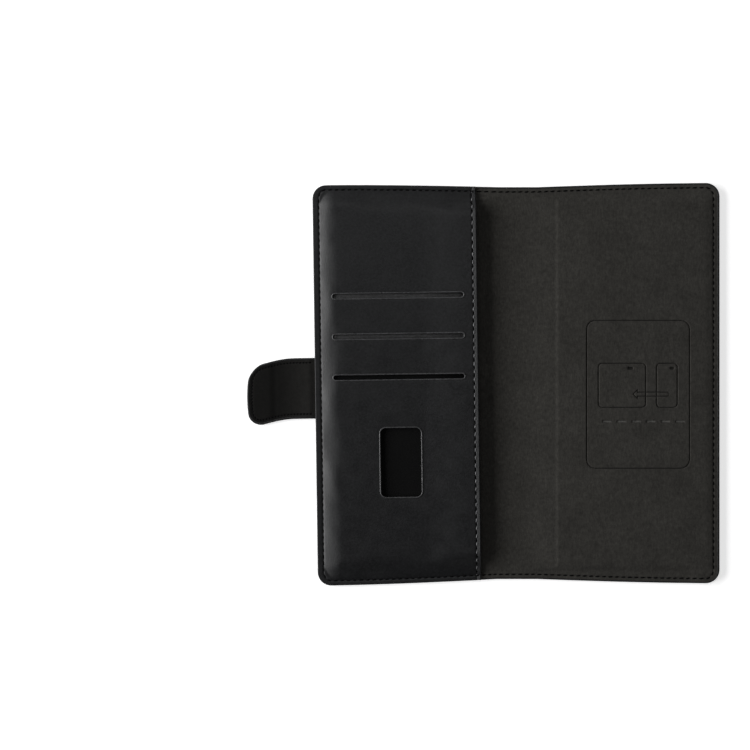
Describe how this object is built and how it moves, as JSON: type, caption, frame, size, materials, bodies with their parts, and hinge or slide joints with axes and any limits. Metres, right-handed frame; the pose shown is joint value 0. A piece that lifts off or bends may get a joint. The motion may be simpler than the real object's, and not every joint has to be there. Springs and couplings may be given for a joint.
{
  "type": "phone wallet case",
  "caption": "Folio wallet that opens flat: padded card panel with slots and a window on one cover, magnetic phone dock on the other, and a magnetic closing strap.",
  "frame": {"origin": "centre of the spine on its outer face, on the plane the open wallet lies on", "axes": "+X from the spine towards the free edge of the cover with the phone dock, +Y towards the top edge, +Z out of the inside faces"},
  "size_m": [0.21, 0.1776, 0.0047],
  "materials": {
    "outer_leather": "fine-grained black leather, satin",
    "panel_leather": "fine-grained black leather, satin",
    "welt_leather": "turned leather edge, satin",
    "suede_lining": "brushed dark grey microsuede",
    "strap_suede": "brushed black microsuede",
    "pocket_sheet": "thin black pocket fabric",
    "board": "pressed stiffener board",
    "tape": "non-woven tape",
    "thread": "twisted polyester thread",
    "steel": "plated sheet steel",
    "magnet": "nickel-plated magnet"
  },
  "bodies": {
    "front_cover": {"front_outer_leather": "outer_leather", "front_board": "board", "front_lining": "suede_lining", "strap_anchor": "strap_suede", "pocket_backing": "pocket_sheet", "pocket_divider_middle": "pocket_sheet", "pocket_divider_bottom": "pocket_sheet", "card_panel_leather": "panel_leather", "slot_welt_top": "welt_leather", "slot_welt_middle": "welt_leather", "slot_welt_bottom": "welt_leather", "window_welt": "welt_leather", "flap_edge_strip": "panel_leather", "flap_hem_thread": "thread", "front_perimeter_thread": "thread"},
    "spine": {"spine_leather": "outer_leather", "spine_tape": "tape", "spine_lining": "suede_lining", "spine_thread": "thread"},
    "back_cover": {"back_outer_leather": "outer_leather", "back_board": "board", "back_lining": "suede_lining", "back_perimeter_thread": "thread", "dock_yoke_plate": "steel", "dock_magnets": "magnet", "catch_plate": "steel"},
    "strap_neck": {"strap_neck_leather": "outer_leather", "strap_neck_lining": "strap_suede", "strap_neck_thread": "thread"},
    "strap_tip": {"strap_tip_leather": "outer_leather", "strap_tip_lining": "strap_suede", "strap_magnet": "magnet", "strap_tip_thread": "thread"}
  },
  "joints": [
    {"name": "front_fold", "type": "hinge", "parent": "front_cover", "child": "spine", "pos_m": [-0.00735, 0, 0.00065], "axis": [0, -1, 0], "range_deg": [0, 90]},
    {"name": "back_fold", "type": "hinge", "parent": "spine", "child": "back_cover", "pos_m": [0.00735, 0, 0.00065], "axis": [0, -1, 0], "range_deg": [0, 90]},
    {"name": "strap_root", "type": "hinge", "parent": "front_cover", "child": "strap_neck", "pos_m": [-0.0911, -0.0012, 0.0009], "axis": [0, 1, 0], "range_deg": [0, 90]},
    {"name": "strap_bend", "type": "hinge", "parent": "strap_neck", "child": "strap_tip", "pos_m": [-0.1077, -0.0012, 0.0009], "axis": [0, 1, 0], "range_deg": [0, 90]}
  ]
}
